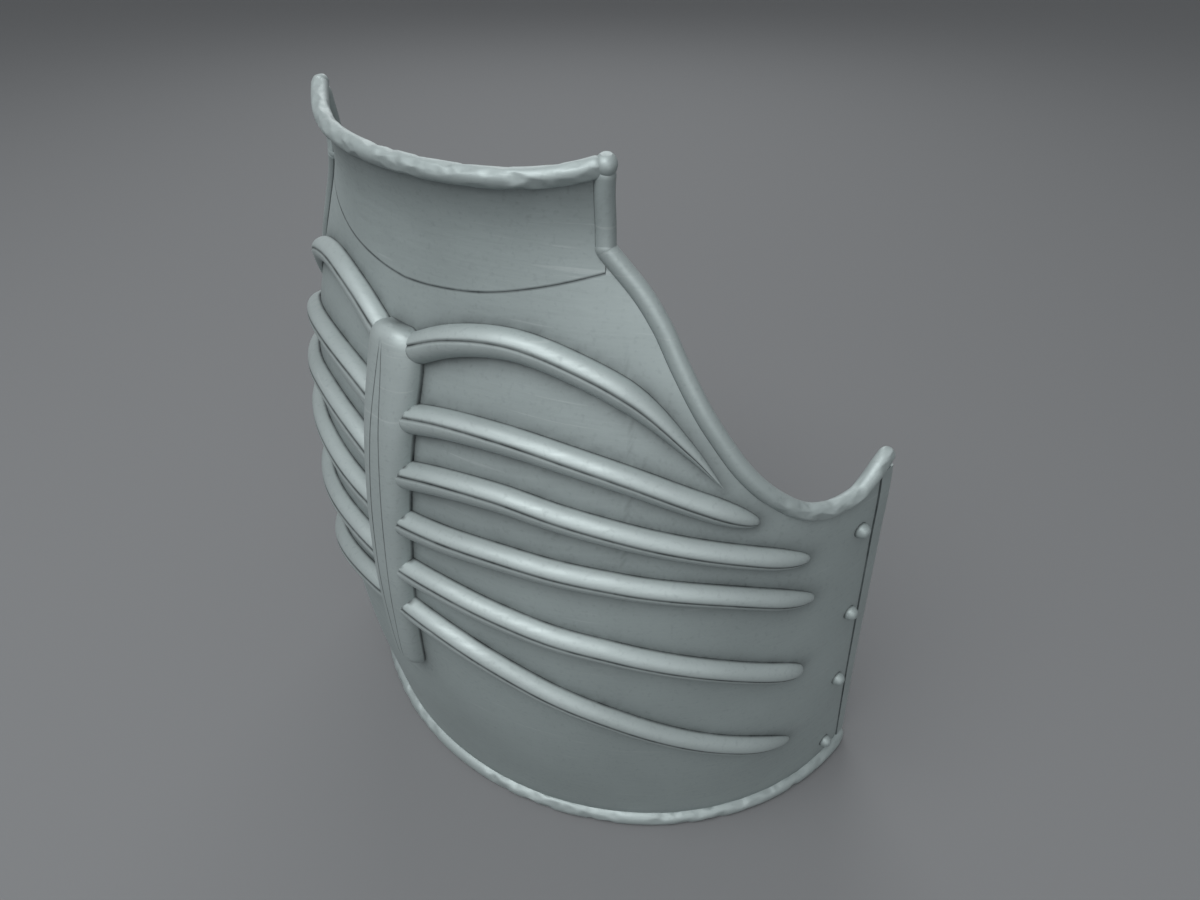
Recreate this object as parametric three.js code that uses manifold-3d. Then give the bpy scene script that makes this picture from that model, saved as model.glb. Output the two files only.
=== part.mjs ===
import * as THREE from 'three';
import { mergeVertices } from 'three/addons/utils/BufferGeometryUtils.js';
import Module from 'manifold-3d';

const wasm = await Module();
wasm.setup();

// A steel breastplate with a standing collar, six raised ribs a side and a sternum bar.
// Millimetres, +Z up. The front faces -Y, and the wearer's left is +X.
// Angles are degrees round the body from the middle of the front.

// Driving sizes
const WALL = 2;
const GAP = 0.3;
const SUNK = 1.2;
const FINE_STEP = 0.1;
const MERGE_STEP = 1e-4;
const BEAD_RADIUS = 4.2;
const BALL_RADIUS = 4.9;
const BEAD_SIDES = 8;
const BALL_SEGMENTS = 8;

const WAIST_EDGE_ANGLE = 93.3;
const SIDE_TIP_ANGLE = 88.2;
const COLLAR_FOOT_ANGLE = 38.4;
const COLLAR_TIP_ANGLE = 42.8;
const COLLAR_FRONT_HEIGHT = 391;
const COLLAR_TIP_RISE = 10.5;
const COLLAR_CORNER_HEIGHT = 367;

const HEM_OVERLAP = 9;
const HEM_BEYOND = 1.8;
const HEM_SKIN = 1.2;
const HEM_STEPS = 6;

const RIVET_RADIUS = 3.75;
const RIVET_HEIGHT = 4.2;
const RIVET_SHANK_RADIUS = 2;
const RIVET_TAIL_RADIUS = 2.8;
const RIVET_TAIL_HEIGHT = 1;
const RIVET_TAIL_GAP = 0.7;
const RIVET_HOLE_DEPTH = 12;
const RIVET_SEGMENTS = 8;

const PLATE_ROWS = 7;
const COLLAR_ROWS = 4;
const COLLAR_END_STEPS = 3;
const COLLAR_COLUMNS = 10;
const RIB_STATIONS = 11;
const RIB_ARC_STEPS = 6;
const WAIST_STEPS = 28;

// Half-ellipse of the outer surface at heights above the waist edge
const FORM = [
  { z: 0, halfWidth: 192.8, front: -179, centre: 0 },
  { z: 80, halfWidth: 193.5, front: -190.5, centre: -13 },
  { z: 150, halfWidth: 193.5, front: -192.5, centre: -21 },
  { z: 210, halfWidth: 193, front: -187.5, centre: -26 },
  { z: 260, halfWidth: 191.5, front: -179, centre: -29 },
  { z: 300, halfWidth: 183, front: -168, centre: -30 },
  { z: 335, halfWidth: 168, front: -159.5, centre: -30 },
  { z: 360, halfWidth: 152, front: -157, centre: -30 },
  { z: 375, halfWidth: 145, front: -158, centre: -30 },
  { z: 392, halfWidth: 140.5, front: -163, centre: -30 },
  { z: 406, halfWidth: 140, front: -167, centre: -30 },
];

// Seam between the plate and the collar
const SEAM = [
  { angle: 0, z: 337 },
  { angle: 6, z: 338.2 },
  { angle: 16.2, z: 342.2 },
  { angle: 26.2, z: 348.8 },
  { angle: 38.4, z: 357.9 },
];

// Armhole edge, from the collar's corner down and back up to the side tip
const ARMHOLE = [
  { angle: 39.6, z: 365 },
  { angle: 43.2, z: 351.8 },
  { angle: 45.2, z: 339.1 },
  { angle: 47.2, z: 323.2 },
  { angle: 50.1, z: 305.4 },
  { angle: 52.9, z: 292.6 },
  { angle: 56.1, z: 280.1 },
  { angle: 59.6, z: 269.6 },
  { angle: 63.1, z: 261.5 },
  { angle: 66.5, z: 255.2 },
  { angle: 69.5, z: 251.7 },
  { angle: 73.7, z: 250 },
  { angle: 78.2, z: 251.4 },
  { angle: 81.8, z: 256.2 },
  { angle: 84.6, z: 261.6 },
  { angle: SIDE_TIP_ANGLE, z: 267 },
];

// Sternum bar from its lower end to its slanted top
const BAR = [
  { z: 107, halfWidth: 9.5, proud: 6.5, facet: 0.6 },
  { z: 112, halfWidth: 10.6, proud: 8.6, facet: 1.4 },
  { z: 150, halfWidth: 12.2, proud: 9.6, facet: 3.2 },
  { z: 195, halfWidth: 13.6, proud: 10.8, facet: 4.4 },
  { z: 235, halfWidth: 14.6, proud: 11.6, facet: 4.2 },
  { z: 270, halfWidth: 16, proud: 12.2, facet: 3 },
  { z: 294, halfWidth: 17, proud: 12.4, facet: 1.6 },
  { z: 304, halfWidth: 16.6, proud: 12, facet: 0.8 },
  { z: 310, halfWidth: 14.4, proud: 9.8, facet: 0.6 },
];

// Half of the bar's section as shares of its half width and its height
const BAR_FLANK = [
  { across: 1, up: 0.3 },
  { across: 0.92, up: 0.6 },
  { across: 0.72, up: 0.85 },
];

// Waist lip section: out from the middle of the wall, and up from the plate's edge
const WAIST_LIP = [
  { out: 3, up: -6 },
  { out: 5.2, up: -4 },
  { out: 5.8, up: -1 },
  { out: 4.8, up: 2.2 },
  { out: 2.6, up: 4 },
];

// Angles where every rib's height is given, besides its own root, bend and tip
const RIB_RISE_ANGLE = 11;
const RIB_CREST_ANGLE = 21;
const RIB_SIDE_ANGLE = 40;

// Heights of each rib's middle along its way round the body
const RIB_WAYS = [
  {
    rootAngle: 2.6, root: 304.5, rise: 317.8, crest: 323.7, side: 309.6,
    bendAngle: 48.5, bend: 290.4, tipAngle: 53.4, tip: 272,
  },
  {
    rootAngle: 1, root: 271.5, rise: 279.2, crest: 281.7, side: 275.6,
    bendAngle: 50, bend: 266, tipAngle: 58.6, tip: 255.6,
  },
  {
    rootAngle: 1, root: 241, rise: 249.6, crest: 253.1, side: 248,
    bendAngle: 56, bend: 238.3, tipAngle: 69, tip: 226.3,
  },
  {
    rootAngle: 1, root: 213.8, rise: 217.6, crest: 220.4, side: 219.7,
    bendAngle: 56, bend: 213, tipAngle: 71.7, tip: 196.4,
  },
  {
    rootAngle: 1, root: 183.8, rise: 184.8, crest: 182.3, side: 174.6,
    bendAngle: 56, bend: 160.3, tipAngle: 72, tip: 137.4,
  },
  {
    rootAngle: 1, root: 156.4, rise: 152.6, crest: 144, side: 120.6,
    bendAngle: 56, bend: 93.1, tipAngle: 71.6, tip: 65.4,
  },
];

// Half widths and heights of each rib, the share of its length that draws in, and how blunt its tip is
const RIB_SIZES = [
  { rootWidth: 7.8, rootHeight: 8.6, tipWidth: 6.2, tipHeight: 6.8, taper: 0.34, blunt: 1.15 },
  { rootWidth: 7.8, rootHeight: 8.8, tipWidth: 6, tipHeight: 6.6, taper: 0.14, blunt: 2 },
  { rootWidth: 7.8, rootHeight: 8.8, tipWidth: 5.8, tipHeight: 6.4, taper: 0.13, blunt: 2 },
  { rootWidth: 7.8, rootHeight: 9, tipWidth: 5.8, tipHeight: 6.4, taper: 0.13, blunt: 2 },
  { rootWidth: 7.8, rootHeight: 9, tipWidth: 6.4, tipHeight: 6.8, taper: 0.12, blunt: 2.6 },
  { rootWidth: 7.8, rootHeight: 9, tipWidth: 6.4, tipHeight: 6.8, taper: 0.24, blunt: 1.3 },
];
const RIB_CROWDING = 1.25;
const RIB_END_SHARE = 0.995;
const RIB_REACH = 0.01;

const RIVETS = [
  { angle: 81.8, z: 226.7 },
  { angle: 84.2, z: 160.5 },
  { angle: 84.9, z: 96.2 },
  { angle: 84.7, z: 20.2 },
];

// Rivet dome as shares of its radius and height
const RIVET_DOME = [
  { out: 0.96, up: 0.35 },
  { out: 0.78, up: 0.66 },
  { out: 0.44, up: 0.89 },
  { out: 0, up: 1 },
];

const SIDES = [
  { name: 'left', sign: 1 },
  { name: 'right', sign: -1 },
];

const STEEL = {
  plate: { color: 0x8a9696, roughness: 0.5, metalness: 0.9 },
  raised: { color: 0xa6b2b1, roughness: 0.45, metalness: 0.9 },
};

// Smooth value from a table of rows, by the column named in by
function along(rows, by, key, at) {
  const last = rows.length - 1;
  let k = 0;
  while (k < last - 1 && rows[k + 1][by] < at) {
    k += 1;
  }
  const slope = (i) => {
    const a = rows[Math.max(i - 1, 0)];
    const b = rows[Math.min(i + 1, last)];
    return (b[key] - a[key]) / (b[by] - a[by]);
  };
  const span = rows[k + 1][by] - rows[k][by];
  const t = (at - rows[k][by]) / span;
  const step = t * t * (3 - 2 * t);
  const rise = rows[k + 1][key] - rows[k][key];
  const bend = (1 - t) * (1 - t) * t * slope(k) - t * t * (1 - t) * slope(k + 1);
  return rows[k][key] + rise * step + bend * span;
}

// Point on the outer surface
function surfacePoint(angle, z) {
  const turn = THREE.MathUtils.degToRad(angle);
  const centre = along(FORM, 'z', 'centre', z);
  const depth = centre - along(FORM, 'z', 'front', z);
  const halfWidth = along(FORM, 'z', 'halfWidth', z);
  return new THREE.Vector3(halfWidth * Math.sin(turn), centre - depth * Math.cos(turn), z);
}

function surfaceNormal(angle, z) {
  const round = surfacePoint(angle + FINE_STEP, z).sub(surfacePoint(angle - FINE_STEP, z));
  const up = surfacePoint(angle, z + FINE_STEP).sub(surfacePoint(angle, z - FINE_STEP));
  return round.cross(up).normalize();
}

// Point at a depth under the outer surface, negative depths being outside it
function pointAtDepth(angle, z, depth) {
  return surfacePoint(angle, z).addScaledVector(surfaceNormal(angle, z), -depth);
}

function geometryOf(points, triangles) {
  const geometry = new THREE.BufferGeometry();
  const numbers = points.flatMap((p) => [p.x, p.y, p.z]);
  geometry.setAttribute('position', new THREE.Float32BufferAttribute(numbers, 3));
  geometry.setIndex(triangles.flat());
  return geometry;
}

function volumeOf(points, triangles) {
  return triangles.reduce((sum, [a, b, c]) => sum + points[a].dot(points[b].clone().cross(points[c])) / 6, 0);
}

// Closed body through equal rings of points, with flat fans at both ends
function loft(rings) {
  const count = rings[0].length;
  const points = rings.flat();
  const triangles = [];
  for (let i = 0; i < rings.length - 1; i += 1) {
    for (let j = 0; j < count; j += 1) {
      const next = (j + 1) % count;
      const [a, b, c, d] = [i * count + j, i * count + next, (i + 1) * count + next, (i + 1) * count + j];
      triangles.push([a, b, c], [a, c, d]);
    }
  }
  const end = (rings.length - 1) * count;
  for (let j = 1; j < count - 1; j += 1) {
    triangles.push([0, j + 1, j], [end, end + j, end + j + 1]);
  }
  const outward = volumeOf(points, triangles) > 0;
  return geometryOf(points, outward ? triangles : triangles.map(([a, b, c]) => [a, c, b]));
}

function solid(geometry) {
  const bare = geometry.clone();
  bare.deleteAttribute('normal');
  bare.deleteAttribute('uv');
  const merged = mergeVertices(bare, MERGE_STEP);
  return new wasm.Manifold(new wasm.Mesh({
    numProp: 3,
    vertProperties: new Float32Array(merged.attributes.position.array),
    triVerts: new Uint32Array(merged.index.array),
  }));
}

// Largest body that is left of a piece after its neighbours are cut out of it
function cutAway(piece, neighbours) {
  const left = neighbours.reduce((rest, other) => rest.subtract(other), piece);
  return left.decompose().sort((a, b) => b.volume() - a.volume())[0];
}

function geometryFromSolid(body) {
  const mesh = body.getMesh();
  const geometry = new THREE.BufferGeometry();
  geometry.setAttribute('position', new THREE.Float32BufferAttribute(mesh.vertProperties, 3));
  geometry.setIndex(Array.from(mesh.triVerts));
  geometry.computeVertexNormals();
  return geometry;
}

function named(name, body, finish) {
  const mesh = new THREE.Mesh(geometryFromSolid(body), new THREE.MeshStandardMaterial(finish));
  mesh.name = name;
  return mesh;
}

// Curved sheet between the low and high ends of its columns, grown on every side by grow
function sheet(columns, rows, grow) {
  const spread = THREE.MathUtils.radToDeg(grow / FORM[0].halfWidth);
  const layers = [-grow, WALL + grow];
  const points = [];
  for (const depth of layers) {
    columns.forEach(({ low, high }, i) => {
      const widen = i === 0 ? -spread : i === columns.length - 1 ? spread : 0;
      for (let j = 0; j <= rows; j += 1) {
        const share = j / rows;
        const stretch = j === 0 ? -grow : j === rows ? grow : 0;
        const angle = THREE.MathUtils.lerp(low.angle, high.angle, share) + widen;
        const z = THREE.MathUtils.lerp(low.z, high.z, share) + stretch;
        points.push(pointAtDepth(angle, z, depth));
      }
    });
  }
  const tall = rows + 1;
  const inside = columns.length * tall;
  const last = columns.length - 1;
  const triangles = [];
  const quad = (a, b, c, d) => triangles.push([a, b, c], [a, c, d]);
  for (let i = 0; i < last; i += 1) {
    for (let j = 0; j < rows; j += 1) {
      const [a, b] = [i * tall + j, (i + 1) * tall + j];
      quad(a, b, b + 1, a + 1);
      quad(inside + a, inside + a + 1, inside + b + 1, inside + b);
    }
    const [foot, nextFoot] = [i * tall, (i + 1) * tall];
    quad(foot, inside + foot, inside + nextFoot, nextFoot);
    quad(foot + rows, nextFoot + rows, inside + nextFoot + rows, inside + foot + rows);
  }
  for (let j = 0; j < rows; j += 1) {
    const far = last * tall + j;
    quad(j, j + 1, inside + j + 1, inside + j);
    quad(far, inside + far, inside + far + 1, far + 1);
  }
  return solid(geometryOf(points, triangles));
}

// Columns of a sheet from one half's angles, the middle one first, mirrored to the other half
function bothHalves(half) {
  const mirrored = half.slice(1).reverse().map(({ low, high }) => ({
    low: { angle: -low.angle, z: low.z },
    high: { angle: -high.angle, z: high.z },
  }));
  return [...mirrored, ...half];
}

function seamHeight(angle) {
  return along(SEAM, 'angle', 'z', Math.abs(angle));
}

function collarHeight(angle) {
  return COLLAR_FRONT_HEIGHT + COLLAR_TIP_RISE * (angle / COLLAR_TIP_ANGLE) ** 4;
}

function breastPlate(grow) {
  const steps = COLLAR_COLUMNS / 2;
  const seam = Array.from({ length: steps + 1 }, (_, i) => {
    const angle = COLLAR_FOOT_ANGLE * i / steps;
    return { angle, z: seamHeight(angle) };
  });
  const half = [...seam, ...ARMHOLE].map((high) => ({
    low: { angle: high.angle * WAIST_EDGE_ANGLE / SIDE_TIP_ANGLE, z: 0 },
    high,
  }));
  return sheet(bothHalves(half), PLATE_ROWS, grow);
}

function collarPlate(grow) {
  const steps = COLLAR_COLUMNS / 2;
  const half = Array.from({ length: steps + 1 }, (_, i) => {
    const foot = COLLAR_FOOT_ANGLE * i / steps;
    const tip = COLLAR_TIP_ANGLE * i / steps;
    return {
      low: { angle: foot, z: seamHeight(foot) + GAP },
      high: { angle: tip, z: collarHeight(tip) },
    };
  });
  return sheet(bothHalves(half), COLLAR_ROWS, grow);
}

// Round bead whose middle runs through places in the middle of the wall
function bead(places, radius) {
  const middle = places.map(({ angle, z }) => pointAtDepth(angle, z, WALL / 2));
  const rings = middle.map((point, i) => {
    const before = middle[Math.max(i - 1, 0)];
    const after = middle[Math.min(i + 1, middle.length - 1)];
    const course = after.clone().sub(before).normalize();
    const out = surfaceNormal(places[i].angle, places[i].z);
    out.addScaledVector(course, -out.dot(course)).normalize();
    const side = course.clone().cross(out);
    return Array.from({ length: BEAD_SIDES }, (_, k) => {
      const turn = 2 * Math.PI * (k + 0.5) / BEAD_SIDES;
      return point.clone()
        .addScaledVector(out, radius * Math.cos(turn))
        .addScaledVector(side, radius * Math.sin(turn));
    });
  });
  return solid(loft(rings));
}

function ball(place, radius) {
  const geometry = new THREE.SphereGeometry(radius, BALL_SEGMENTS, BALL_SEGMENTS / 2);
  const middle = pointAtDepth(place.angle, place.z, WALL / 2);
  geometry.translate(middle.x, middle.y, middle.z);
  return solid(geometry);
}

// Collar tips and corners on one side
function collarTip(sign) {
  return { angle: sign * COLLAR_TIP_ANGLE, z: collarHeight(COLLAR_TIP_ANGLE) };
}

function collarCorner(sign) {
  const climb = collarHeight(COLLAR_TIP_ANGLE) - seamHeight(COLLAR_FOOT_ANGLE);
  const share = (COLLAR_CORNER_HEIGHT - seamHeight(COLLAR_FOOT_ANGLE)) / climb;
  return {
    angle: sign * THREE.MathUtils.lerp(COLLAR_FOOT_ANGLE, COLLAR_TIP_ANGLE, share),
    z: COLLAR_CORNER_HEIGHT,
  };
}

function collarRim(grow) {
  const places = Array.from({ length: COLLAR_COLUMNS + 1 }, (_, i) => {
    const angle = COLLAR_TIP_ANGLE * (2 * i / COLLAR_COLUMNS - 1);
    return { angle, z: collarHeight(angle) };
  });
  const rim = bead(places, BEAD_RADIUS + grow);
  return SIDES.reduce((joined, { sign }) => joined.add(ball(collarTip(sign), BALL_RADIUS + grow)), rim);
}

function collarEndRim(sign) {
  const steps = COLLAR_END_STEPS;
  const tip = collarTip(sign);
  const corner = collarCorner(sign);
  const places = Array.from({ length: steps + 1 }, (_, i) => ({
    angle: THREE.MathUtils.lerp(corner.angle, tip.angle, i / steps),
    z: THREE.MathUtils.lerp(corner.z, tip.z, i / steps),
  }));
  return bead(places, BEAD_RADIUS);
}

function armRim(sign, grow) {
  const places = [collarCorner(1), ...ARMHOLE.slice(1)].map(({ angle, z }) => ({ angle: sign * angle, z }));
  return bead(places, BEAD_RADIUS + grow).add(ball(places[0], BALL_RADIUS + grow));
}

// Flat-bottomed lip round the waist edge
function waistRim(grow) {
  const rightHalf = WAIST_LIP.map(({ out, up }) => ({ out: out + grow, up: up + Math.sign(up) * grow }));
  const section = [...rightHalf, ...rightHalf.slice().reverse().map(({ out, up }) => ({ out: -out, up }))];
  const rings = Array.from({ length: WAIST_STEPS + 1 }, (_, i) => {
    const angle = WAIST_EDGE_ANGLE * (2 * i / WAIST_STEPS - 1);
    const out = surfaceNormal(angle, 0).setZ(0).normalize();
    const middle = surfacePoint(angle, 0).addScaledVector(out, -WALL / 2);
    return section.map((corner) => middle.clone().addScaledVector(out, corner.out).setZ(corner.up));
  });
  return solid(loft(rings));
}

// Folded strip over the upright side edge
function sideHem(sign) {
  const half = WALL / 2 + GAP + HEM_SKIN;
  const rings = Array.from({ length: HEM_STEPS + 1 }, (_, i) => {
    const share = i / HEM_STEPS;
    const angle = sign * THREE.MathUtils.lerp(WAIST_EDGE_ANGLE, SIDE_TIP_ANGLE, share);
    const z = ARMHOLE[ARMHOLE.length - 1].z * share;
    const middle = pointAtDepth(angle, z, WALL / 2);
    const out = surfaceNormal(angle, z);
    const back = new THREE.Vector3(0, 0, sign).cross(out).normalize();
    const corner = (o, b) => middle.clone().addScaledVector(out, o).addScaledVector(back, b);
    return [
      corner(half, -HEM_OVERLAP),
      corner(half, HEM_BEYOND - HEM_SKIN / 2),
      corner(half - HEM_SKIN / 2, HEM_BEYOND),
      corner(HEM_SKIN / 2 - half, HEM_BEYOND),
      corner(-half, HEM_BEYOND - HEM_SKIN / 2),
      corner(-half, -HEM_OVERLAP),
    ];
  });
  return solid(loft(rings));
}

function sternumBar(grow) {
  const rings = BAR.map((row, i) => {
    const stretch = i === 0 ? -grow : i === BAR.length - 1 ? grow : 0;
    const out = surfaceNormal(0, row.z);
    const middle = surfacePoint(0, row.z + stretch);
    const half = BAR_FLANK.map(({ across, up }) => [across * row.halfWidth + grow, up * (row.proud + grow)]);
    half.unshift([row.halfWidth + grow, -SUNK]);
    half.push([row.facet + grow / 2, row.proud + grow]);
    const section = [...half, ...half.slice().reverse().map(([across, up]) => [-across, up])];
    return section.map(([across, up]) => middle.clone().addScaledVector(out, up).setX(across));
  });
  return solid(loft(rings));
}

// Places along a rib's way, as angle and height
function ribWay(way) {
  const places = [
    [way.rootAngle, way.root],
    [RIB_RISE_ANGLE, way.rise],
    [RIB_CREST_ANGLE, way.crest],
    [RIB_SIDE_ANGLE, way.side],
    [way.bendAngle, way.bend],
    [way.tipAngle, way.tip],
  ];
  return new THREE.CatmullRomCurve3(places.map(([angle, z]) => new THREE.Vector3(angle, z, 0)));
}

// Domed rib along its way, drawn in to its tip
function rib(way, size, sign) {
  const course = ribWay(way);
  const onSurface = ({ x, y }) => surfacePoint(sign * x, y);
  const rings = Array.from({ length: RIB_STATIONS + 1 }, (_, i) => {
    const share = (1 - (1 - i / RIB_STATIONS) ** RIB_CROWDING) * RIB_END_SHARE;
    const here = course.getPoint(share);
    const next = onSurface(course.getPoint(Math.min(share + RIB_REACH, 1)));
    const ahead = next.sub(onSurface(course.getPoint(Math.max(share - RIB_REACH, 0))));
    const out = surfaceNormal(sign * here.x, here.y);
    const across = ahead.cross(out).normalize();
    const left = Math.min((1 - share) / size.taper, 1);
    const draw = (1 - (1 - left) ** size.blunt) ** (1 / size.blunt);
    const width = THREE.MathUtils.lerp(size.rootWidth, size.tipWidth, share) * draw;
    const height = THREE.MathUtils.lerp(size.rootHeight, size.tipHeight, share) * draw;
    const middle = onSurface(here);
    const arc = Array.from({ length: RIB_ARC_STEPS + 1 }, (_, k) => {
      const turn = Math.PI * k / RIB_ARC_STEPS;
      return [width * Math.cos(turn), height * Math.sin(turn)];
    });
    const section = [[width, -SUNK], ...arc, [-width, -SUNK]];
    return section.map(([a, o]) => middle.clone().addScaledVector(across, a).addScaledVector(out, o));
  });
  return solid(loft(rings));
}

// Places a shape turned about +Y so that its axis stands out of the surface
function standOut(geometry, { angle, z }) {
  const turn = new THREE.Quaternion().setFromUnitVectors(new THREE.Vector3(0, 1, 0), surfaceNormal(angle, z));
  const middle = surfacePoint(angle, z);
  return geometry.applyQuaternion(turn).translate(middle.x, middle.y, middle.z);
}

function rivet(place) {
  const seat = -WALL - RIVET_TAIL_GAP;
  const profile = [
    [0, seat - RIVET_TAIL_HEIGHT],
    [RIVET_TAIL_RADIUS, seat - RIVET_TAIL_HEIGHT],
    [RIVET_TAIL_RADIUS, seat],
    [RIVET_SHANK_RADIUS, seat],
    [RIVET_SHANK_RADIUS, GAP],
    [RIVET_RADIUS, GAP],
    ...RIVET_DOME.map(({ out, up }) => [RIVET_RADIUS * out, RIVET_HEIGHT * up]),
  ].map(([r, y]) => new THREE.Vector2(r, y));
  return solid(standOut(new THREE.LatheGeometry(profile, RIVET_SEGMENTS), place));
}

function rivetHole(place) {
  const radius = RIVET_SHANK_RADIUS + GAP;
  return solid(standOut(new THREE.CylinderGeometry(radius, radius, RIVET_HOLE_DEPTH, RIVET_SEGMENTS), place));
}

// Pieces, each cut clear of what it sits on
const breastSpace = breastPlate(GAP);
const collarSpace = collarPlate(GAP);
const plates = [breastSpace, collarSpace];
const barSpace = sternumBar(GAP);
const waistSpace = waistRim(GAP);
const rivetPlaces = SIDES.flatMap(({ sign }) => RIVETS.map(({ angle, z }) => ({ angle: sign * angle, z })));

const cuirass = new THREE.Group();
cuirass.add(named('breast_plate', cutAway(breastPlate(0), rivetPlaces.map(rivetHole)), STEEL.plate));
cuirass.add(named('collar_plate', cutAway(collarPlate(0), []), STEEL.plate));
cuirass.add(named('collar_rim', cutAway(collarRim(0), plates), STEEL.raised));
cuirass.add(named('waist_rim', cutAway(waistRim(0), [breastSpace]), STEEL.raised));
cuirass.add(named('sternum_bar', cutAway(sternumBar(0), [breastSpace]), STEEL.raised));

for (const { name, sign } of SIDES) {
  const armSpace = armRim(sign, GAP);
  const endNeighbours = [...plates, armSpace, collarRim(GAP)];
  cuirass.add(named(`collar_end_rim_${name}`, cutAway(collarEndRim(sign), endNeighbours), STEEL.raised));
  cuirass.add(named(`arm_rim_${name}`, cutAway(armRim(sign, 0), plates), STEEL.raised));
  const hem = cutAway(sideHem(sign), [breastSpace, armSpace, waistSpace]);
  cuirass.add(named(`side_hem_${name}`, hem, STEEL.plate));
  RIB_WAYS.forEach((way, i) => {
    const piece = cutAway(rib(way, RIB_SIZES[i], sign), [breastSpace, barSpace]);
    cuirass.add(named(`rib_${name}_${i + 1}`, piece, STEEL.raised));
  });
  RIVETS.forEach(({ angle, z }, i) => {
    cuirass.add(named(`rivet_${name}_${i + 1}`, rivet({ angle: sign * angle, z }), STEEL.raised));
  });
}

// The origin is under the middle of the whole piece, on the surface it stands on
const extent = new THREE.Box3().setFromObject(cuirass, true);
cuirass.position.set(0, -(extent.min.y + extent.max.y) / 2, -extent.min.z);

export default cuirass;
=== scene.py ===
"""Ribbed steel breastplate: smooth plates, beaded rims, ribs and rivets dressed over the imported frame."""
import logging
import math
from dataclasses import dataclass
from enum import Enum
from typing import Callable, Sequence

import bpy
import numpy as np
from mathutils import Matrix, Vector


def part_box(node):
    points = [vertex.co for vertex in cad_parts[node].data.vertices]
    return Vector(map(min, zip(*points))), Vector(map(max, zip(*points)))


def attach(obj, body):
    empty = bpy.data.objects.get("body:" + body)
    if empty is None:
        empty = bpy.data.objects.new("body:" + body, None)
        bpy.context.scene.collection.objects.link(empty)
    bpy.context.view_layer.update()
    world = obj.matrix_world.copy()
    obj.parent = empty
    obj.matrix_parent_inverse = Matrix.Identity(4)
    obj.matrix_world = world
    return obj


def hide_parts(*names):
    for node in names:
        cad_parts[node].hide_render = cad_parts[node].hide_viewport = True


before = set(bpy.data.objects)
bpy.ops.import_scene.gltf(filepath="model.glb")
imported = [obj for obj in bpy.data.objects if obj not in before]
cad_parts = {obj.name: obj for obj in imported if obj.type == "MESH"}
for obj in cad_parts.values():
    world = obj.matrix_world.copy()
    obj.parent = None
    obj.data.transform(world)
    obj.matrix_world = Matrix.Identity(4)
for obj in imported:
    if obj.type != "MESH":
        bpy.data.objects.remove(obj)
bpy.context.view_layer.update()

LOG = logging.getLogger("cuirass")
MM = 0.001
BODY = "root"

# Sheet and bead sizes in millimetres
WALL = 2.0
BEAD_RADIUS = 4.2
ARM_BEAD_RADIUS = 4.3
BALL_RADIUS = 4.35
LIP_OUT = 5.8
LIP_DROP = 6.0
LIP_TOP = 4.0
WAIST_FRONT = 179.0
WAIST_EDGE_ANGLE = 93.3
SIDE_TIP_ANGLE = 88.2
COLLAR_FOOT_ANGLE = 38.4
COLLAR_TIP_ANGLE = 42.8
COLLAR_FRONT_HEIGHT = 391.0
COLLAR_TIP_RISE = 8.8
COLLAR_CORNER_HEIGHT = 367.0
SEAM_GAP = 0.1
SEAM_LINE = 0.9

# Height, half width, front and centre of the half-ellipse of the outer surface
FORM_ROWS = (
    (0, 192.8, -179, 0),
    (80, 193.5, -190.5, -13),
    (150, 193.5, -192.5, -21),
    (210, 193, -187.5, -26),
    (260, 191.5, -179, -29),
    (300, 183, -168, -30),
    (335, 168, -159.5, -30),
    (360, 152, -157, -30),
    (375, 145, -158, -30),
    (392, 140.5, -163, -30),
    (406, 140, -167, -30),
)

# Angle round the body and height of the seam under the collar
SEAM_ROWS = ((0, 337), (6, 338.2), (16.2, 342.2), (26.2, 348.8), (38.4, 357.9))

# Angle and height of the armhole edge, from the collar's corner to the side tip
ARMHOLE_ROWS = (
    (39.6, 365), (43.2, 351.8), (45.2, 339.1), (47.2, 323.2), (50.1, 305.4), (52.9, 292.6),
    (56.1, 280.1), (59.6, 269.6), (63.1, 261.5), (66.5, 255.2), (69.5, 251.7), (73.7, 250),
    (78.2, 251.4), (81.8, 256.2), (84.6, 261.6), (SIDE_TIP_ANGLE, 267),
)

# Height, half width, height off the plate and half width of the facet of the sternum bar
BAR_ROWS = (
    (107, 9.5, 6.5, 0.6),
    (112, 10.6, 8.6, 1.4),
    (150, 12.2, 9.6, 3.2),
    (195, 13.6, 10.8, 4.4),
    (235, 14.6, 11.6, 4.2),
    (270, 16, 12.2, 3),
    (294, 17, 12.4, 1.6),
    (304, 16.8, 12.2, 0.8),
    (310, 16, 11.6, 0.7),
    (314, 13, 9.6, 0.6),
    (316, 8, 6.4, 0.5),
)


class Side(Enum):
    """The wearer's sides, with the sign of X on each."""

    LEFT = 1
    RIGHT = -1


class Surface(Enum):
    """How a bead's metal was left."""

    SMOOTH = 0
    HAMMERED = 1


@dataclass(frozen=True)
class RibShape:
    """One rib's way round the body and its sizes, in degrees and millimetres.

    Args:
        start: Angle and height of the root, at the bar.
        heights: Heights at the angles of RIB_ANGLES.
        bend: Angle and height of the bend before the tip.
        end: Angle and height of the tip.
        root: Half width and height off the plate at the bar.
        tip: Half width and height off the plate near the tip.
        taper: Share of the length that draws in to the tip.
        blunt: Bluntness of the tip.
    """

    start: tuple[float, float]
    heights: tuple[float, float, float, float]
    bend: tuple[float, float]
    end: tuple[float, float]
    root: tuple[float, float] = (7.8, 9.0)
    tip: tuple[float, float] = (5.8, 6.4)
    taper: float = 0.13
    blunt: float = 2.0

    def places(self) -> tuple[tuple[float, float], ...]:
        """Angle and height of every place along the rib."""
        return (self.start, *zip(RIB_ANGLES, self.heights), self.bend, self.end)


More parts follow.
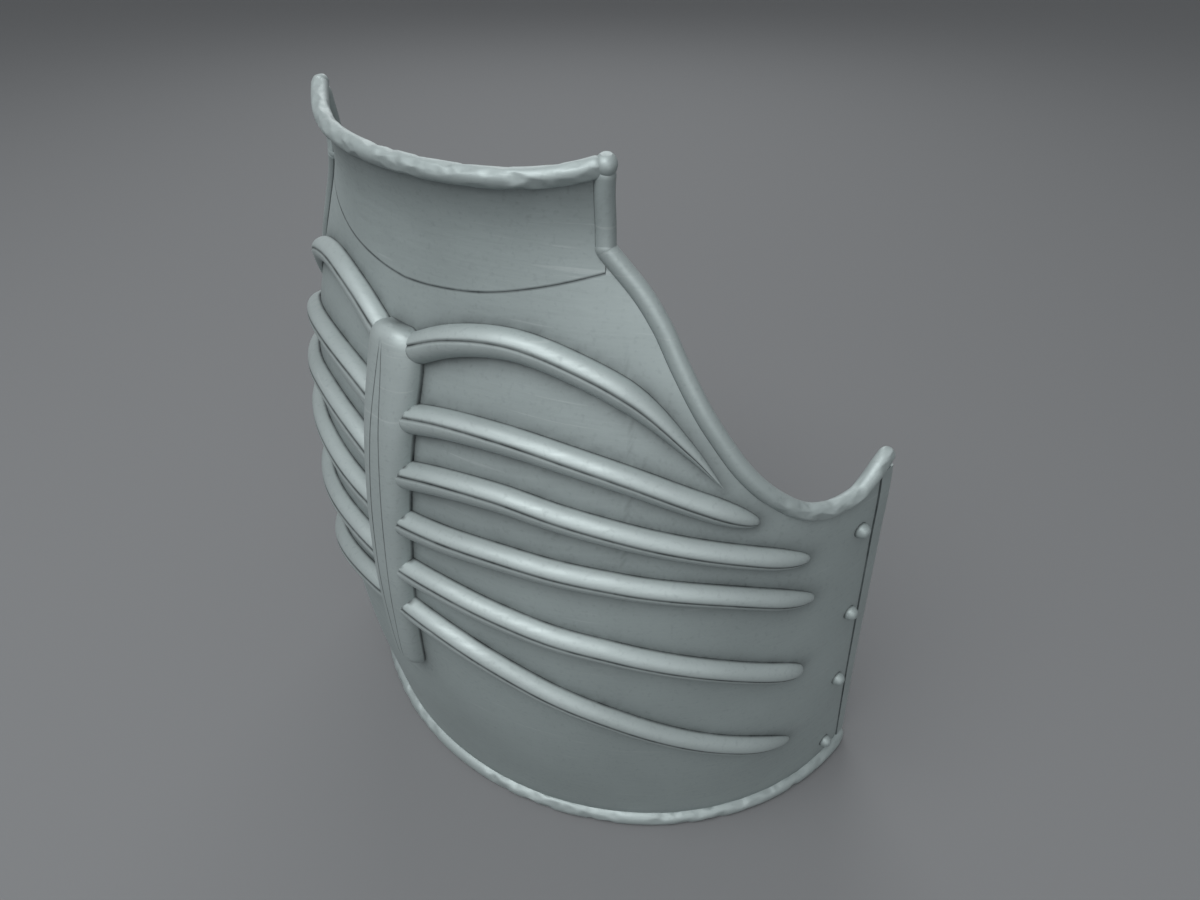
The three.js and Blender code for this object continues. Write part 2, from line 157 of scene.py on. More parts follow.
RIB_ANGLES = (11.0, 21.0, 30.0, 40.0)
RIBS = (
    RibShape((1.4, 304), (317.8, 323.7, 320.3, 309), (48.2, 288.8), (53.4, 272),
             (7.8, 8.6), (6.2, 6.8), 0.34, 1.15),
    RibShape((1, 271.5), (279.2, 281.7, 279.8, 274.2), (50.4, 264.2), (59.6, 253.2),
             (7.8, 8.8), (6, 6.6), 0.14),
    RibShape((1, 241), (249.6, 253.1, 250.8, 246.6), (56.4, 236.4), (70.2, 224), (7.8, 8.8)),
    RibShape((1, 213.8), (217.6, 220.4, 220, 218.3), (56.4, 211), (72.9, 194)),
    RibShape((1, 183.8), (184.8, 182.3, 178, 173.2), (56.4, 158.2), (73.2, 135), tip=(6.4, 6.8),
             taper=0.12, blunt=2.6),
    RibShape((1, 156.4), (152.6, 144, 132.6, 119), (56.4, 91), (73, 62.4), tip=(6.4, 6.8),
             taper=0.16, blunt=1.9),
)

RIVET_PLACES = ((81.8, 226.7), (84.2, 160.5), (84.9, 96.2), (84.7, 20.2))


def smooth(xs: Sequence[float], ys: Sequence[float], at: np.ndarray) -> np.ndarray:
    """Smooth curve through a table.

    Args:
        xs: Rising places of the rows.
        ys: Values of the rows.
        at: Places to read.

    Returns:
        The values at those places.
    """
    x = np.asarray(xs, float)
    y = np.asarray(ys, float)
    slope = np.empty_like(y)
    slope[1:-1] = (y[2:] - y[:-2]) / (x[2:] - x[:-2])
    slope[0] = (y[1] - y[0]) / (x[1] - x[0])
    slope[-1] = (y[-1] - y[-2]) / (x[-1] - x[-2])
    k = np.clip(np.searchsorted(x, at, side="right") - 1, 0, len(x) - 2)
    span = x[k + 1] - x[k]
    t = (at - x[k]) / span
    step = t * t * (3 - 2 * t)
    bend = (1 - t) ** 2 * t * slope[k] - t * t * (1 - t) * slope[k + 1]
    return y[k] + (y[k + 1] - y[k]) * step + bend * span


def unit(vectors: np.ndarray) -> np.ndarray:
    """Vectors at length one."""
    return vectors / np.linalg.norm(vectors, axis=-1, keepdims=True)


@dataclass(frozen=True)
class BodyForm:
    """The outer surface of plate and collar, placed in the frame.

    Args:
        back: Shift along Y from the form's own middle to the frame, in millimetres.
        lift: Height of the plate's lower edge over the floor, in millimetres.
    """

    back: float
    lift: float

    def point(self, angle: np.ndarray, z: np.ndarray) -> np.ndarray:
        """Points on the outer surface.

        Args:
            angle: Degrees round the body from the middle of the front.
            z: Heights over the plate's lower edge.

        Returns:
            Points in millimetres in the frame.
        """
        angle, z = np.broadcast_arrays(np.asarray(angle, float), np.asarray(z, float))
        heights, widths, fronts, centres = np.array(FORM_ROWS, float).T
        turn = np.radians(angle)
        centre = smooth(heights, centres, z)
        depth = centre - smooth(heights, fronts, z)
        x = smooth(heights, widths, z) * np.sin(turn)
        return np.stack([x, centre - depth * np.cos(turn) + self.back, z + self.lift], -1)

    def normal(self, angle: np.ndarray, z: np.ndarray) -> np.ndarray:
        """Outward directions of the surface.

        Args:
            angle: Degrees round the body from the middle of the front.
            z: Heights over the plate's lower edge.

        Returns:
            Directions of length one.
        """
        angle = np.asarray(angle, float)
        z = np.asarray(z, float)
        round_body = self.point(angle + 0.1, z) - self.point(angle - 0.1, z)
        upward = self.point(angle, z + 0.1) - self.point(angle, z - 0.1)
        return unit(np.cross(round_body, upward))

    def inside(self, angle: np.ndarray, z: np.ndarray, depth: float) -> np.ndarray:
        """Points at a depth under the outer surface, negative depths being outside it."""
        return self.point(angle, z) - self.normal(angle, z) * depth


def seam_height(angle: np.ndarray) -> np.ndarray:
    """Height of the seam at an angle on either side."""
    angles, heights = np.array(SEAM_ROWS, float).T
    return smooth(angles, heights, np.abs(angle))


def collar_height(angle: np.ndarray) -> np.ndarray:
    """Height of the collar's top at an angle on either side."""
    return COLLAR_FRONT_HEIGHT + COLLAR_TIP_RISE * (np.asarray(angle) / COLLAR_TIP_ANGLE) ** 4


def collar_corner() -> tuple[float, float]:
    """Angle and height of the corner where the collar's end meets the armhole."""
    foot = float(seam_height(np.array(COLLAR_FOOT_ANGLE)))
    tip = COLLAR_FRONT_HEIGHT + COLLAR_TIP_RISE
    share = (COLLAR_CORNER_HEIGHT - foot) / (tip - foot)
    return COLLAR_FOOT_ANGLE + (COLLAR_TIP_ANGLE - COLLAR_FOOT_ANGLE) * share, COLLAR_CORNER_HEIGHT


@dataclass(frozen=True)
class Course:
    """A smooth way along the surface through places given by angle and height.

    Args:
        form: The surface.
        places: Angle and height of each place.
        depth: Depth of the way under the outer surface, in millimetres.
    """

    form: BodyForm
    places: tuple[tuple[float, float], ...]
    depth: float = 0.0

    def at(self, share: np.ndarray) -> tuple[np.ndarray, np.ndarray]:
        """Angles and heights along the way.

        Args:
            share: Shares of the whole length.

        Returns:
            The angles and the heights.
        """
        angles, heights = np.array(self.places, float).T
        steps = np.linalg.norm(np.diff(self.form.point(angles, heights), axis=0), axis=1)
        run = np.concatenate([[0.0], np.cumsum(steps)])
        wanted = np.clip(share, 0, 1) * run[-1]
        return smooth(run, angles, wanted), smooth(run, heights, wanted)

    def length(self) -> float:
        """Length of the way in millimetres."""
        middle = self.middle(np.linspace(0, 1, 200))
        return float(np.linalg.norm(np.diff(middle, axis=0), axis=1).sum())

    def middle(self, share: np.ndarray) -> np.ndarray:
        """Points on the way at shares of its length."""
        return self.form.inside(*self.at(share), self.depth)

    def axes(self, share: np.ndarray) -> tuple[np.ndarray, np.ndarray]:
        """Directions along the way.

        Args:
            share: Shares of the whole length.

        Returns:
            Directions out of the surface and across the way.
        """
        reach = 0.004
        ahead = unit(self.middle(share + reach) - self.middle(share - reach))
        out = self.form.normal(*self.at(share))
        out = unit(out - ahead * np.sum(out * ahead, -1, keepdims=True))
        return out, np.cross(ahead, out)


class Bench:
    """Mesh work with Blender's own operators."""

    @staticmethod
    def clear() -> None:
        """Deselect everything."""
        bpy.ops.object.select_all(action="DESELECT")

    @staticmethod
    def only(piece: bpy.types.Object) -> None:
        """Make one piece the selected and active one.

        Args:
            piece: The piece to select.
        """
        Bench.clear()
        piece.select_set(True)
        bpy.context.view_layer.objects.active = piece

    @staticmethod
    def coordinates(piece: bpy.types.Object) -> np.ndarray:
        """Vertex positions of a piece.

        Args:
            piece: The piece to read.

        Returns:
            The positions as rows, in metres.
        """
        flat = np.empty(len(piece.data.vertices) * 3)
        piece.data.vertices.foreach_get("co", flat)
        return flat.reshape(-1, 3)

    @staticmethod
    def reshape(piece: bpy.types.Object, points: np.ndarray) -> None:
        """Move a piece's vertices to points in millimetres."""
        piece.data.vertices.foreach_set("co", (points * MM).ravel())
        piece.data.update()

    @staticmethod
    def face_out(piece: bpy.types.Object) -> None:
        """Merge doubles and point all faces outwards.

        Args:
            piece: The piece to mend.
        """
        Bench.only(piece)
        bpy.ops.object.mode_set(mode="EDIT")
        bpy.ops.mesh.select_all(action="SELECT")
        bpy.ops.mesh.remove_doubles(threshold=1e-7)
        bpy.ops.mesh.normals_make_consistent(inside=False)
        bpy.ops.object.mode_set(mode="OBJECT")

    @staticmethod
    def shade(piece: bpy.types.Object, degrees: float = 40.0) -> None:
        """Smooth the shading except at edges sharper than an angle."""
        Bench.only(piece)
        bpy.ops.object.shade_smooth_by_angle(angle=math.radians(degrees))

    @staticmethod
    def mask(piece: bpy.types.Object, name: str, values: np.ndarray) -> None:
        """Store a value per vertex for the finish to read."""
        layer = piece.data.attributes.new(name, "FLOAT", "POINT")
        layer.data.foreach_set("value", np.asarray(values, np.float32))

    @staticmethod
    def swept(name: str, stations: int, sides: int,
              skin: Callable[[np.ndarray, np.ndarray], np.ndarray],
              paint_shade_and_lines: Callable[[np.ndarray, np.ndarray], np.ndarray] | None = None) -> bpy.types.Object:
        """Draw a sphere out along a way, with its poles as the closed ends.

        Args:
            name: The piece's name.
            stations: Rings along the way.
            sides: Points round each ring.
            skin: Gives points in millimetres for shares of the length and turns in radians.
            paint_shade_and_lines: Gives the painted shade in creases and the painted dark lines, for the same
                shares and turns.

        Returns:
            The closed piece.
        """
        Bench.clear()
        rings = stations + 1
        bpy.ops.mesh.primitive_uv_sphere_add(segments=sides, ring_count=rings, radius=1.0, location=(0, 0, 0))
        piece = bpy.context.object
        piece.name = name
        start = Bench.coordinates(piece)
        ring = np.rint(np.arccos(np.clip(start[:, 2], -1, 1)) / math.pi * rings).astype(int)
        turn = np.arctan2(start[:, 1], start[:, 0])
        share = np.clip((ring - 1) / (stations - 1), 0, 1)
        points = skin(share, turn)
        for pole, neighbour in ((0, 1), (rings, rings - 1)):
            points[ring == pole] = points[ring == neighbour].mean(axis=0)
        Bench.reshape(piece, points)
        # Painted shade and dark lines, stored per vertex for the finish to darken the colour with.
        if paint_shade_and_lines:
            Bench.mask(piece, "crease", paint_shade_and_lines(share, turn))
        Bench.face_out(piece)
        return piece


@dataclass(frozen=True)
class SteelFinish:
    """A satin steel, with tone, grain, random grime and painted shade worked out over the surface.

    Args:
        name: The material's name.
        slot: Not used.
        bright: Colour of clean metal.
        dull: Colour of the random dark clouding and specks, and of the painted shade in creases and at feet.
        roughness: Roughness of clean metal.
        grain: Strength of the bump.
    """

    name: str
    slot: str
    bright: tuple[float, float, float, float]
    dull: tuple[float, float, float, float]
    roughness: float
    grain: float

    def material(self) -> bpy.types.Material:
        """Build the finish's material, once.

        Returns:
            The material.
        """
        known = bpy.data.materials.get(self.name)
        if known:
            return known
        made = bpy.data.materials.new(self.name)
        made.use_nodes = True
        nodes = made.node_tree.nodes
        links = made.node_tree.links
        shader = nodes["Principled BSDF"]
        shader.inputs["Metallic"].default_value = METAL_SHARE
        wear = nodes.new("ShaderNodeGroup")
        wear.node_tree = worn_steel()
        wear.inputs["Bright"].default_value = self.bright
        wear.inputs["Dull"].default_value = self.dull
        wear.inputs["Roughness"].default_value = self.roughness
        links.new(wear.outputs["Color"], shader.inputs["Base Color"])
        links.new(wear.outputs["Roughness"], shader.inputs["Roughness"])
        bump = nodes.new("ShaderNodeBump")
        bump.inputs["Strength"].default_value = self.grain
        bump.inputs["Distance"].default_value = 0.4 * MM
        links.new(wear.outputs["Height"], bump.inputs["Height"])
        links.new(bump.outputs["Normal"], shader.inputs["Normal"])
        return made


METAL_SHARE = 0.45
RUBBED = (0.46, 0.5, 0.5, 1)
PLATE_FINISH = SteelFinish(
    "satin_plate_steel", "plate_steel", (0.28, 0.325, 0.325, 1), (0.03, 0.038, 0.04, 1), 0.54, 0.3)
RIM_FINISH = SteelFinish(
    "hammered_rim_steel", "rim_steel", (0.28, 0.325, 0.325, 1), (0.03, 0.038, 0.04, 1), 0.52, 0.45)
# Ribs and bar: clean colour a little lighter than the plate's, a painted highlight for their lit faces; the
# darker dull colour deepens their painted shade and lines.
RIB_FINISH = SteelFinish(
    "raised_rib_steel", "rib_steel", (0.3, 0.345, 0.345, 1), (0.012, 0.016, 0.017, 1), 0.54, 0.3)
# Rivets: the darker dull colour deepens the painted shade at their feet and their random specks.
RIVET_FINISH = SteelFinish(
    "domed_rivet_steel", "rivet_steel", (0.27, 0.315, 0.315, 1), (0.012, 0.016, 0.017, 1), 0.56, 0.2)


def worn_steel() -> bpy.types.NodeTree:
    """Node group of the steel's tone with painted shade, roughness and grain, built once.

    Returns:
        The group, with Color, Roughness and Height outputs.
    """
    known = bpy.data.node_groups.get("worn_steel")
    if known:
        return known
    group = bpy.data.node_groups.new("worn_steel", "ShaderNodeTree")
    sockets = group.interface
    sockets.new_socket("Bright", in_out="INPUT", socket_type="NodeSocketColor")
    sockets.new_socket("Dull", in_out="INPUT", socket_type="NodeSocketColor")
    sockets.new_socket("Roughness", in_out="INPUT", socket_type="NodeSocketFloat")
    sockets.new_socket("Color", in_out="OUTPUT", socket_type="NodeSocketColor")
    sockets.new_socket("Roughness", in_out="OUTPUT", socket_type="NodeSocketFloat")
    sockets.new_socket("Height", in_out="OUTPUT", socket_type="NodeSocketFloat")
    nodes = group.nodes
    links = group.links
    given = nodes.new("NodeGroupInput")
    put_out = nodes.new("NodeGroupOutput")
    place = nodes.new("ShaderNodeTexCoord")

    def noise(scale: float, detail: float, stretch: tuple[float, float, float]) -> bpy.types.NodeSocket:
        """A noise over the piece's own coordinates.

        Args:
            scale: Scale of the noise.
            detail: Octaves of the noise.
            stretch: Scale along each axis.

        Returns:
            The noise's value.
        """
        turned = nodes.new("ShaderNodeMapping")
        turned.inputs["Scale"].default_value = stretch
        links.new(place.outputs["Object"], turned.inputs["Vector"])
        texture = nodes.new("ShaderNodeTexNoise")
        texture.inputs["Scale"].default_value = scale
        texture.inputs["Detail"].default_value = detail
        links.new(turned.outputs["Vector"], texture.inputs["Vector"])
        return texture.outputs["Fac"]

    def remap(value: bpy.types.NodeSocket, low: float, high: float, to_low: float,
              to_high: float) -> bpy.types.NodeSocket:
        """A value moved from one range to another, held at its ends.

        Args:
            value: The value to move.
            low: Start of its range.
            high: End of its range.
            to_low: Start of the new range.
            to_high: End of the new range.

        Returns:
            The moved value.
        """
        node = nodes.new("ShaderNodeMapRange")
        for socket, number in zip(("From Min", "From Max", "To Min", "To Max"), (low, high, to_low, to_high)):
            node.inputs[socket].default_value = number
        links.new(value, node.inputs["Value"])
        return node.outputs["Result"]

    def maths(kind: str, first: bpy.types.NodeSocket, second: bpy.types.NodeSocket) -> bpy.types.NodeSocket:
        """Two values joined by a sum or a product.

        Args:
            kind: The sum or product.
            first: One value.
            second: The other value.

        Returns:
            The joined value.
        """
        node = nodes.new("ShaderNodeMath")
        node.operation = kind
        links.new(first, node.inputs[0])
        links.new(second, node.inputs[1])
        return node.outputs["Value"]

    # Painted shade: the per-vertex mask darkens the colour toward the dark colour in creases, at feet and
    # along dark lines, mottled by noise.
    crease = nodes.new("ShaderNodeAttribute")
    crease.attribute_name = "crease"
    cloud = remap(noise(14.0, 4.0, (1, 1, 1)), 0.35, 0.7, 0.0, 0.13)
    speck = remap(noise(420.0, 2.0, (1, 1, 1)), 0.56, 0.76, 0.0, 0.1)
    brushed = noise(60.0, 3.0, (1, 1, 14))
    planish = noise(46.0, 1.0, (1, 1, 1))
    painted_shade = maths("MULTIPLY", crease.outputs["Fac"], remap(noise(90.0, 3.0, (1, 1, 1)), 0.3, 0.7, 0.72, 1.0))
    # Random clouding and specks, plus the painted shade; the sum darkens and roughens the metal.
    dirt_and_shade = maths("ADD", maths("ADD", cloud, speck), painted_shade)
    edges = nodes.new("ShaderNodeNewGeometry")
    edge = remap(edges.outputs["Pointiness"], 0.53, 0.66, 0.0, 0.35)
    rubbed = maths("MULTIPLY", edge, remap(noise(70.0, 3.0, (1, 1, 1)), 0.35, 0.65, 0.3, 1.0))
    scratch = remap(noise(34.0, 3.0, (0.5, 0.5, 15)), 0.66, 0.72, 0.0, 0.22)
    polish = nodes.new("ShaderNodeMix")
    polish.data_type = "RGBA"
    polish.clamp_factor = True
    polish.inputs["B"].default_value = RUBBED
    links.new(maths("ADD", rubbed, scratch), polish.inputs["Factor"])
    links.new(given.outputs["Bright"], polish.inputs["A"])
    tone = nodes.new("ShaderNodeMix")
    tone.data_type = "RGBA"
    tone.clamp_factor = True
    links.new(dirt_and_shade, tone.inputs["Factor"])
    links.new(polish.outputs["Result"], tone.inputs["A"])
    links.new(given.outputs["Dull"], tone.inputs["B"])
    links.new(tone.outputs["Result"], put_out.inputs["Color"])
    sheen = maths("ADD", remap(brushed, 0.3, 0.7, -0.05, 0.06), remap(dirt_and_shade, 0.0, 1.0, 0.0, 0.22))
    links.new(maths("ADD", given.outputs["Roughness"], sheen), put_out.inputs["Roughness"])
    fine = remap(brushed, 0.0, 1.0, 0.0, 0.25)
    relief = maths("ADD", fine, remap(planish, 0.2, 0.8, 0.0, 0.9))
    links.new(maths("ADD", relief, speck), put_out.inputs["Height"])
    return group


@dataclass
class Piece:
    """A finished piece: its object, its finish and the nodes that it stands for."""

    made: bpy.types.Object
    finish: SteelFinish
    nodes: tuple[str, ...]

    def fit(self) -> None:
        """Dress the piece, set it on its body and report it."""
        self.made.data.materials.clear()
        self.made.data.materials.append(self.finish.material())
        if "crease" not in self.made.data.attributes:
            Bench.mask(self.made, "crease", np.zeros(len(self.made.data.vertices)))
        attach(self.made, BODY)
        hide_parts(*self.nodes)
        LOG.info("%s: %d faces", self.made.name, len(self.made.data.polygons))


@dataclass
class Ribs:
    """Raised ribs on both sides of the bar."""

    form: BodyForm
    stations: int = 110
    sides: int = 72
    sunk: float = 0.4
    line_side: int = 20
    line_at_root: float = 1.85
    line_at_tip: float = 1.25
    line_depth: float = 0.05
    crowding: float = 1.6
    least_draw: float = 0.03
    foot_reach: float = 0.16
    meeting_width: float = 0.8

    def course(self, shape: RibShape, side: Side) -> Course:
        """The rib's way on one side."""
        return Course(self.form, tuple((side.value * angle, z) for angle, z in shape.places()))

    def sizes(self, shape: RibShape, share: np.ndarray) -> tuple[np.ndarray, np.ndarray]:
        """Half widths and heights along a rib.

        Args:
            shape: The rib's way and sizes.
            share: Shares of the rib's length.

        Returns:
            The half widths and the heights off the plate.
        """
        left = np.clip((1 - share) / shape.taper, 0, 1)
        draw = np.maximum((1 - (1 - left) ** shape.blunt) ** (1 / shape.blunt), self.least_draw)
        width = shape.root[0] + (shape.tip[0] - shape.root[0]) * share
        height = shape.root[1] + (shape.tip[1] - shape.root[1]) * share
        return width * draw, height * draw

    def build(self, shape: RibShape, side: Side, number: int) -> Piece:
        """Model one rib.

        Args:
            shape: The rib's way and sizes.
            side: The wearer's side.
            number: The rib's place from the top.

        Returns:
            The piece.
        """
        course = self.course(shape, side)

        own_turn = 2 * math.pi * self.line_side / self.sides

        def on_line(turn: np.ndarray) -> np.ndarray:
            """One on the side that carries the fine line along the rib, less on the sides next to it."""
            from_foot = turn if side is Side.LEFT else math.pi - turn
            return np.clip(1.45 - np.abs(from_foot - own_turn) * self.sides / (2 * math.pi), 0, 1)

        def lean(share: np.ndarray, turn: np.ndarray) -> np.ndarray:
            """Turns moved so that the line's side lies where the line belongs.

            Args:
                share: Shares of the length.
                turn: Turns round the section, in radians.

            Returns:
                The moved turns.
            """
            from_foot = turn if side is Side.LEFT else math.pi - turn
            line = self.line_at_root + (self.line_at_tip - self.line_at_root) * share
            below = from_foot * line / own_turn
            above = line + (from_foot - own_turn) * (math.pi - line) / (math.pi - own_turn)
            moved = np.where(from_foot < own_turn, below, above)
            moved = np.where((from_foot < 0) | (from_foot > math.pi), from_foot, moved)
            return moved if side is Side.LEFT else math.pi - moved

        def skin(share: np.ndarray, turn: np.ndarray) -> np.ndarray:
            """Points of the rib's domed section.

            Args:
                share: Shares of the length.
                turn: Turns round the section, in radians.

            Returns:
                Points in millimetres.
            """
            eased = 1 - (1 - share) ** self.crowding
            width, height = self.sizes(shape, eased)
            out, across = course.axes(eased)
            leant = lean(eased, turn)
            drawn = 1 - self.line_depth * on_line(turn)
            up = np.where(np.sin(turn) > 0, height * np.sin(leant) * drawn, self.sunk * np.sin(turn))
            aside = width * np.cos(leant) * drawn
            return course.middle(eased) + across * aside[:, None] + out * up[:, None]

        def paint_shade_and_lines(share: np.ndarray, turn: np.ndarray) -> np.ndarray:
            """Painted shade at the rib's foot and where it meets the bar, and a painted dark line along its
            crest.

            Args:
                share: Shares of the length.
                turn: Turns round the section, in radians.

            Returns:
                The darkness of creases.
            """
            foot = np.clip(1.2 - np.sin(turn) / self.foot_reach, 0, 1)
            points = skin(share, turn)
            z = points[:, 2] - self.form.lift
            rise = self.form.point(np.zeros_like(z), z)[:, 1] - points[:, 1]
            meeting = np.abs(points[:, 0]) - Sternum.half_width(z, rise)
            root = np.clip(1.4 - np.abs(meeting) / self.meeting_width, 0, 1)
            return np.maximum.reduce([foot, on_line(turn), root * 0.95])

        name = f"rib_{side.name.lower()}_{number}"
        made = Bench.swept(f"{name}_dressed", self.stations, self.sides, skin, paint_shade_and_lines)
        Bench.shade(made, 50)
        return Piece(made, RIB_FINISH, (name,))


@dataclass
class Plates:
    """The breast plate and the standing collar."""

    form: BodyForm
    ribs: Ribs
    seam_columns: int = 40
    arm_columns: int = 56
    rows: int = 84
    collar_rows: int = 22
    # Strength and reach of the painted shade beside the ribs, the bar and the waist rim.
    shade_share: float = 0.62
    shade_reach: float = 4.2
    rim_shade: float = 0.3
    rim_reach: float = 14.0

    def sheet(self, name: str, low: np.ndarray, high: np.ndarray, rows: int) -> bpy.types.Object:
        """Bend a flat grid over the form and give it its wall.

        Args:
            name: The piece's name.
            low: Angle and height of each column's lower end.
            high: Angle and height of each column's upper end.
            rows: Faces up each column.

        Returns:
            The closed sheet.
        """
        Bench.clear()
        columns = len(low) - 1
        bpy.ops.mesh.primitive_grid_add(
            x_subdivisions=columns, y_subdivisions=rows, size=2.0, location=(0, 0, 0))
        made = bpy.context.object
        made.name = name
        flat = Bench.coordinates(made)
        column = np.rint((flat[:, 0] + 1) / 2 * columns).astype(int)
        row = np.rint((flat[:, 1] + 1) / 2 * rows).astype(int)
        tall = high[:, 1] - low[:, 1]
        share = np.stack([self.row_shares(rows, each) for each in tall])[column, row]
        place = low[column] * (1 - share[:, None]) + high[column] * share[:, None]
        Bench.reshape(made, self.form.point(place[:, 0], place[:, 1]))
        Bench.only(made)
        wall = made.modifiers.new("wall", "SOLIDIFY")
        wall.thickness = WALL * MM
        wall.offset = -1.0
        wall.use_even_offset = True
        bpy.ops.object.modifier_apply(modifier=wall.name)
        Bench.shade(made, 45)
        return made

    def row_shares(self, rows: int, tall: float) -> np.ndarray:
        """Even rows with one more close to each end, for the fine line of the seam."""
        close = SEAM_LINE / tall
        return np.concatenate([[0.0], np.linspace(close, 1 - close, rows - 1), [1.0]])

    def breast(self) -> Piece:
        """Model the breast plate.

        Returns:
            The piece.
        """
        seam_angles = np.linspace(0, COLLAR_FOOT_ANGLE, self.seam_columns)
        arm_angles, arm_heights = Course(self.form, ARMHOLE_ROWS).at(np.linspace(0, 1, self.arm_columns))
        angles = np.concatenate([seam_angles, arm_angles])
        heights = np.concatenate([seam_height(seam_angles), arm_heights])
        both_angles = np.concatenate([-angles[:0:-1], angles])
        high = np.stack([both_angles, np.concatenate([heights[:0:-1], heights])], -1)
        low = np.stack([high[:, 0] * WAIST_EDGE_ANGLE / SIDE_TIP_ANGLE, np.zeros(len(high))], -1)
        made = self.sheet("breast_plate_dressed", low, high, self.rows)
        self.painted_shade(made)
        return Piece(made, PLATE_FINISH, ("breast_plate",))

    def painted_shade(self, made: bpy.types.Object) -> None:
        """Paint shade on the plate's outer face beside the ribs, the bar and the waist rim, and a dark line
        along the seam.

        Args:
            made: The plate.
        """
        points = Bench.coordinates(made) / MM
        gap = np.full(len(points), 1e3)
        share = np.linspace(0, 1, 90)
        for shape in RIBS:
            width, _ = self.ribs.sizes(shape, share)
            for side in Side:
                way = self.ribs.course(shape, side).middle(share)
                far = np.sqrt(((points[:, None, :] - way[None]) ** 2).sum(-1)) - width[None]
                gap = np.minimum(gap, far.min(1))
        heights, widths, _, _ = np.array(BAR_ROWS, float).T
        z = points[:, 2] - self.form.lift
        beside = np.abs(points[:, 0]) - np.interp(z, heights, widths)
        past = np.maximum(heights[0] - z, z - heights[-1])
        gap = np.minimum(gap, np.maximum(beside, past))
        edge = np.maximum(z, 0) - 2.0
        gap = np.minimum(gap, edge)
        at_seam = np.zeros(len(points))
        seam = np.linspace(-COLLAR_FOOT_ANGLE, COLLAR_FOOT_ANGLE, 400)
        line = self.form.point(seam, seam_height(seam))
        high = np.flatnonzero(z > SEAM_ROWS[0][1] - 2)
        far = np.sqrt(((points[high, None, :] - line[None]) ** 2).sum(-1)).min(1)
        at_seam[high] = far < SEAM_LINE / 2
        # Painted shade, fading with distance from the ribs, the bar and the lower edge; the seam gets a dark
        # line.
        soft = self.shade_share * np.exp(-np.maximum(gap, 0) / self.shade_reach)
        outer = np.arange(len(points)) < len(points) // 2
        Bench.mask(made, "crease", np.maximum(soft, at_seam) * outer)

    def collar(self) -> Piece:
        """Model the standing collar.

        Returns:
            The piece.
        """
        foot = np.linspace(-COLLAR_FOOT_ANGLE, COLLAR_FOOT_ANGLE, 2 * self.seam_columns + 1)
        tip = foot * COLLAR_TIP_ANGLE / COLLAR_FOOT_ANGLE
        low = np.stack([foot, seam_height(foot) + SEAM_GAP], -1)
        high = np.stack([tip, collar_height(tip)], -1)
        made = self.sheet("collar_plate_dressed", low, high, self.collar_rows)
        points = Bench.coordinates(made) / MM
        under_rim = COLLAR_FRONT_HEIGHT + self.form.lift - BEAD_RADIUS - points[:, 2]
        line = self.form.point(foot, seam_height(foot))
        far = np.sqrt(((points[:, None, :] - line[None]) ** 2).sum(-1)).min(1)
        shade = self.rim_shade * np.exp(-np.maximum(under_rim, 0) / self.rim_reach)
        Bench.mask(made, "crease", np.maximum(shade, far < SEAM_LINE / 2))
        return Piece(made, PLATE_FINISH, ("collar_plate",))


